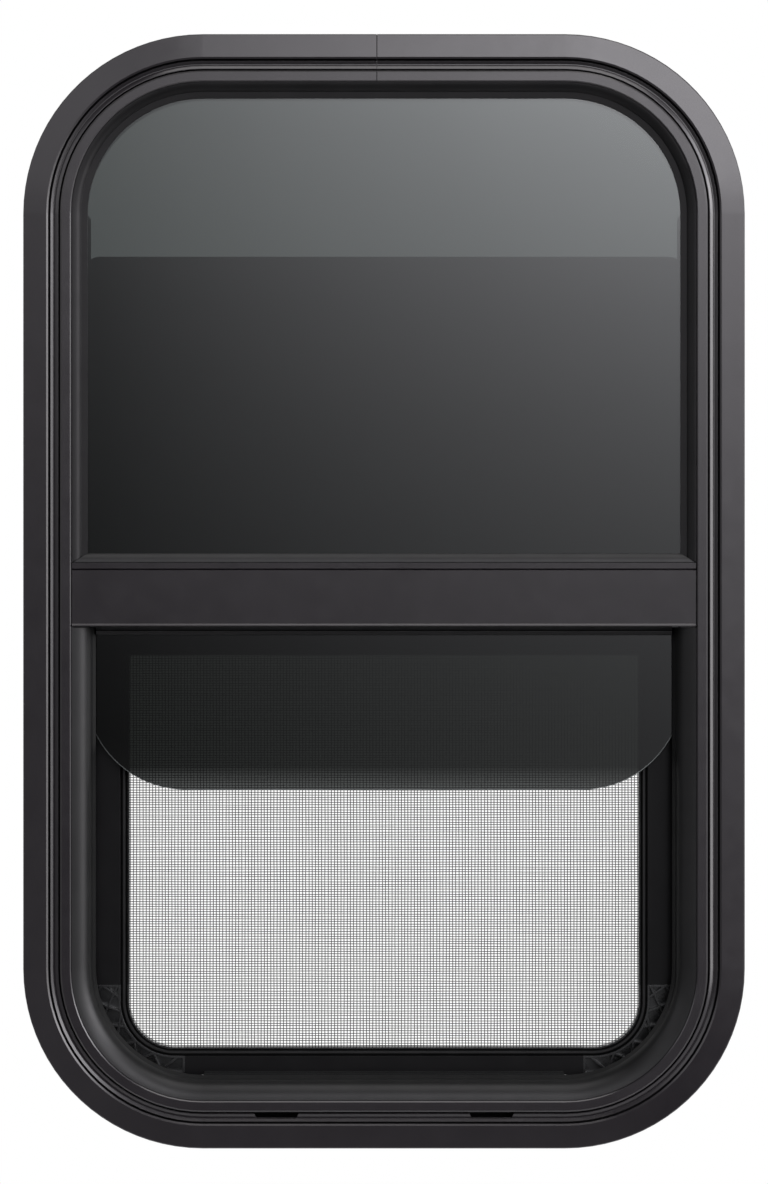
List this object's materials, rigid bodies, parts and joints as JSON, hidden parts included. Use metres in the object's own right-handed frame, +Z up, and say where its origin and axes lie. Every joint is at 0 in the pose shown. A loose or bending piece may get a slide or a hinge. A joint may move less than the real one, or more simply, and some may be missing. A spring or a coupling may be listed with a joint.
{
  "type": "vertical sliding window",
  "caption": "Round-cornered black caravan window: fixed tinted upper pane, sliding lower sash half raised, insect screen behind it and an inside clamp ring.",
  "frame": {"origin": "on the flange's back face, in the middle of its bottom run, on the wall's outside face", "axes": "+X to the right seen from outside, +Y into the vehicle, +Z up"},
  "size_m": [0.406, 0.0473, 0.627],
  "materials": {
    "black_powder_coat": "satin black powder coat on aluminium",
    "black_powder_coat_inside": "satin black powder coat on aluminium",
    "mill_aluminium": "mill",
    "tinted_glass": "dark tinted safety glass",
    "tinted_glass_sash": "dark tinted safety glass",
    "black_rubber": "extruded rubber",
    "foam_tape": "foam glazing tape",
    "pile": "woven pile",
    "black_plastic": "extruded plastic",
    "screen_paint": "satin black paint on roll-formed aluminium",
    "corner_plastic": "moulded plastic",
    "mesh": "coated glass-fibre insect mesh"
  },
  "bodies": {
    "frame": {"outer_frame": "black_powder_coat", "frame_splice_plate": "mill_aluminium", "fixed_glass": "tinted_glass", "glazing_tape": "foam_tape", "glazing_gasket": "black_rubber", "glazing_bead": "black_rubber", "meeting_rail": "black_powder_coat", "rail_pile": "pile", "rail_wiper": "black_rubber", "jamb_seal": "black_rubber", "track_left": "black_plastic", "track_right": "black_plastic", "sill_track": "black_plastic", "screen_stile_left": "screen_paint", "screen_stile_right": "screen_paint", "screen_rail_top": "screen_paint", "screen_rail_bottom": "screen_paint", "screen_corner_left": "corner_plastic", "screen_corner_right": "corner_plastic", "screen_spline": "black_rubber", "screen_mesh": "mesh", "clamp_ring": "black_powder_coat_inside"},
    "sash": {"sash_glass": "tinted_glass_sash"}
  },
  "joints": [
    {"name": "sash_slide", "type": "slide", "parent": "frame", "child": "sash", "axis": [0, 0, 1], "range_m": [-0.1625, 0.042]}
  ]
}
